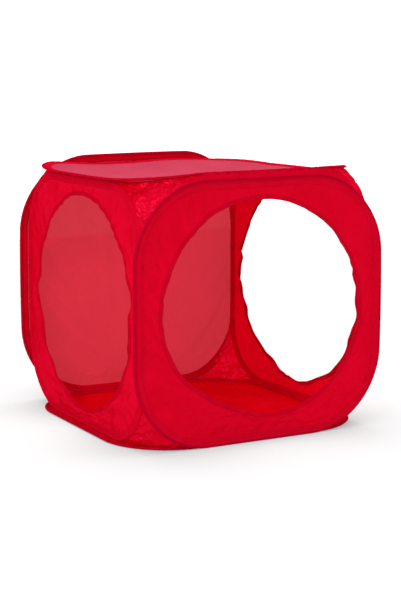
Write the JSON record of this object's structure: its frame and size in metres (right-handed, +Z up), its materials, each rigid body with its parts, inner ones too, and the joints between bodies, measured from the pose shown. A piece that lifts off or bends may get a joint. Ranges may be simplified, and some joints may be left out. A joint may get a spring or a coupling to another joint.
{
  "type": "pop-up play cube",
  "caption": "Pop-up fabric play cube held open by spring-steel hoops, with round crawl-through openings in the front and both sides, a sheer mesh back and a sheer lid.",
  "frame": {"origin": "middle of the underside of the floor, on the ground", "axes": "+Z up, -Y out of the front wall with its round opening, +X towards the right wall"},
  "size_m": [0.76, 0.77, 0.73],
  "materials": {
    "taffeta": "shiny woven polyester, lightly wrinkled",
    "sheer_mesh": "thin see-through polyester mesh",
    "binding_tape": "folded polyester tape, stitched",
    "spring_steel": "drawn spring-steel wire"
  },
  "bodies": {
    "cube": {"floor_panel": "taffeta", "floor_sleeve": "binding_tape", "floor_hoop": "spring_steel", "floor_ferrule": "spring_steel", "front_panel": "taffeta", "front_hem": "binding_tape", "front_sleeve": "binding_tape", "front_hoop": "spring_steel", "front_ferrule": "spring_steel", "left_panel": "taffeta", "left_hem": "binding_tape", "left_sleeve": "binding_tape", "left_hoop": "spring_steel", "left_ferrule": "spring_steel", "right_panel": "taffeta", "right_hem": "binding_tape", "right_sleeve": "binding_tape", "right_hoop": "spring_steel", "right_ferrule": "spring_steel", "back_mesh": "sheer_mesh", "back_sleeve": "binding_tape", "back_hoop": "spring_steel", "back_ferrule": "spring_steel", "gusset_floor_front_left": "taffeta", "gusset_floor_front_right": "taffeta", "gusset_floor_back_left": "taffeta", "gusset_floor_back_right": "taffeta", "gusset_lid_front_left": "taffeta", "gusset_lid_front_right": "taffeta", "gusset_lid_back_left": "taffeta", "gusset_lid_back_right": "taffeta"},
    "lid": {"lid_mesh": "sheer_mesh", "lid_sleeve": "binding_tape", "lid_hoop": "spring_steel", "lid_ferrule": "spring_steel"}
  },
  "joints": [
    {"name": "collapse", "type": "slide", "parent": "cube", "child": "lid", "axis": [0, 0, 1], "range_m": [-0.645, 0], "stiffness_N_per_m": 30, "springref_m": 0.3}
  ]
}
